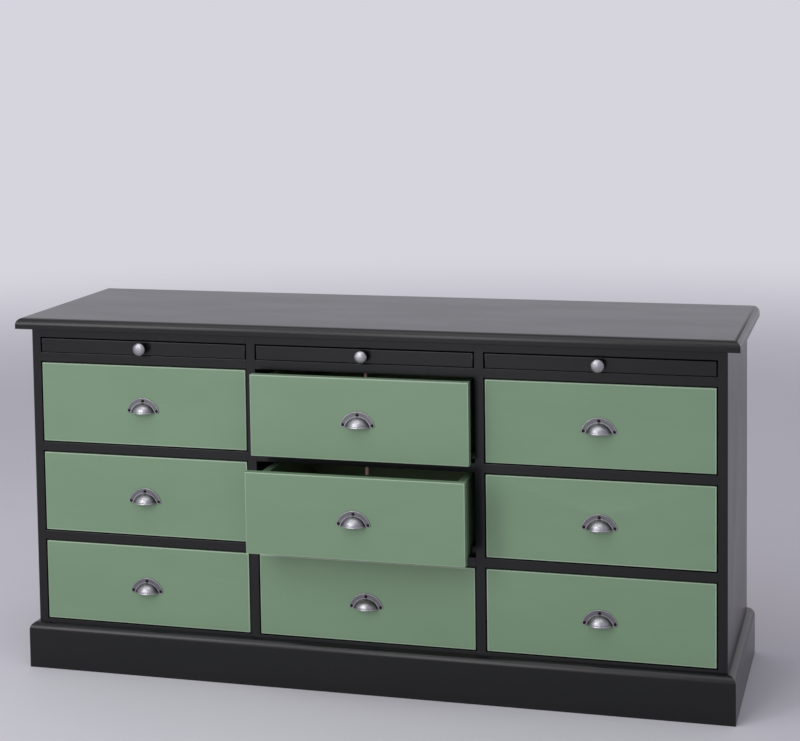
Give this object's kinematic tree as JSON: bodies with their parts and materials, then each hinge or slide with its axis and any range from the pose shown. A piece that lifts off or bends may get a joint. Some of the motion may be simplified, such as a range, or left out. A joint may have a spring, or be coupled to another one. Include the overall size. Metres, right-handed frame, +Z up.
{
  "type": "sideboard",
  "caption": "Long low sideboard of inset drawers in columns with cup pulls, a shallow knobbed tray above each column, and a moulded plinth and top.",
  "frame": {"origin": "on the floor at the middle of the back", "axes": "+X to the right as seen from the front, +Y out of the back, +Z up; the drawers face -Y"},
  "size_m": [1.761, 0.6161, 0.8788],
  "materials": {
    "black_paint": "satin black paint over wood",
    "green_paint": "satin sage green paint over wood",
    "bare_wood": "planed pine, unpainted",
    "drawer_ply": "birch plywood, unpainted",
    "peg_wood": "turned beech dowel, unpainted",
    "pewter": "cast, antique pewter finish"
  },
  "bodies": {
    "carcass": {"top_board": "black_paint", "side_left": "black_paint", "side_right": "black_paint", "divider_left": "black_paint", "divider_right": "black_paint", "bottom_board": "black_paint", "back_panel": "bare_wood", "front_rails": "black_paint", "runners": "black_paint", "guides": "black_paint", "stop_pegs": "peg_wood", "plinth_front": "black_paint", "plinth_sides": "black_paint", "plinth_back": "black_paint", "plinth_bearers": "bare_wood"},
    "drawer_bottom_left": {"drawer_front_bottom_left": "green_paint", "drawer_box_bottom_left": "green_paint", "drawer_bottom_bottom_left": "drawer_ply", "cup_pull_bottom_left": "pewter"},
    "drawer_bottom_centre": {"drawer_front_bottom_centre": "green_paint", "drawer_box_bottom_centre": "green_paint", "drawer_bottom_bottom_centre": "drawer_ply", "cup_pull_bottom_centre": "pewter"},
    "drawer_bottom_right": {"drawer_front_bottom_right": "green_paint", "drawer_box_bottom_right": "green_paint", "drawer_bottom_bottom_right": "drawer_ply", "cup_pull_bottom_right": "pewter"},
    "drawer_middle_left": {"drawer_front_middle_left": "green_paint", "drawer_box_middle_left": "green_paint", "drawer_bottom_middle_left": "drawer_ply", "cup_pull_middle_left": "pewter"},
    "drawer_middle_centre": {"drawer_front_middle_centre": "green_paint", "drawer_box_middle_centre": "green_paint", "drawer_bottom_middle_centre": "drawer_ply", "cup_pull_middle_centre": "pewter"},
    "drawer_middle_right": {"drawer_front_middle_right": "green_paint", "drawer_box_middle_right": "green_paint", "drawer_bottom_middle_right": "drawer_ply", "cup_pull_middle_right": "pewter"},
    "drawer_top_left": {"drawer_front_top_left": "green_paint", "drawer_box_top_left": "green_paint", "drawer_bottom_top_left": "drawer_ply", "cup_pull_top_left": "pewter"},
    "drawer_top_centre": {"drawer_front_top_centre": "green_paint", "drawer_box_top_centre": "green_paint", "drawer_bottom_top_centre": "drawer_ply", "cup_pull_top_centre": "pewter"},
    "drawer_top_right": {"drawer_front_top_right": "green_paint", "drawer_box_top_right": "green_paint", "drawer_bottom_top_right": "drawer_ply", "cup_pull_top_right": "pewter"},
    "tray_left": {"tray_board_left": "black_paint", "tray_front_left": "black_paint", "tray_knob_left": "pewter"},
    "tray_centre": {"tray_board_centre": "black_paint", "tray_front_centre": "black_paint", "tray_knob_centre": "pewter"},
    "tray_right": {"tray_board_right": "black_paint", "tray_front_right": "black_paint", "tray_knob_right": "pewter"}
  },
  "joints": [
    {"name": "slide_bottom_left", "type": "slide", "parent": "carcass", "child": "drawer_bottom_left", "axis": [0, -1, 0], "range_m": [0, 0.402]},
    {"name": "slide_bottom_centre", "type": "slide", "parent": "carcass", "child": "drawer_bottom_centre", "axis": [0, -1, 0], "range_m": [0, 0.402]},
    {"name": "slide_bottom_right", "type": "slide", "parent": "carcass", "child": "drawer_bottom_right", "axis": [0, -1, 0], "range_m": [0, 0.402]},
    {"name": "slide_middle_left", "type": "slide", "parent": "carcass", "child": "drawer_middle_left", "axis": [0, -1, 0], "range_m": [0, 0.402]},
    {"name": "slide_middle_centre", "type": "slide", "parent": "carcass", "child": "drawer_middle_centre", "axis": [0, -1, 0], "range_m": [-0.0943, 0.3077]},
    {"name": "slide_middle_right", "type": "slide", "parent": "carcass", "child": "drawer_middle_right", "axis": [0, -1, 0], "range_m": [0, 0.402]},
    {"name": "slide_top_left", "type": "slide", "parent": "carcass", "child": "drawer_top_left", "axis": [0, -1, 0], "range_m": [0, 0.402]},
    {"name": "slide_top_centre", "type": "slide", "parent": "carcass", "child": "drawer_top_centre", "axis": [0, -1, 0], "range_m": [-0.0489, 0.3531]},
    {"name": "slide_top_right", "type": "slide", "parent": "carcass", "child": "drawer_top_right", "axis": [0, -1, 0], "range_m": [0, 0.402]},
    {"name": "slide_tray_left", "type": "slide", "parent": "carcass", "child": "tray_left", "axis": [0, -1, 0], "range_m": [0, 0.41]},
    {"name": "slide_tray_centre", "type": "slide", "parent": "carcass", "child": "tray_centre", "axis": [0, -1, 0], "range_m": [0, 0.41]},
    {"name": "slide_tray_right", "type": "slide", "parent": "carcass", "child": "tray_right", "axis": [0, -1, 0], "range_m": [0, 0.41]}
  ]
}
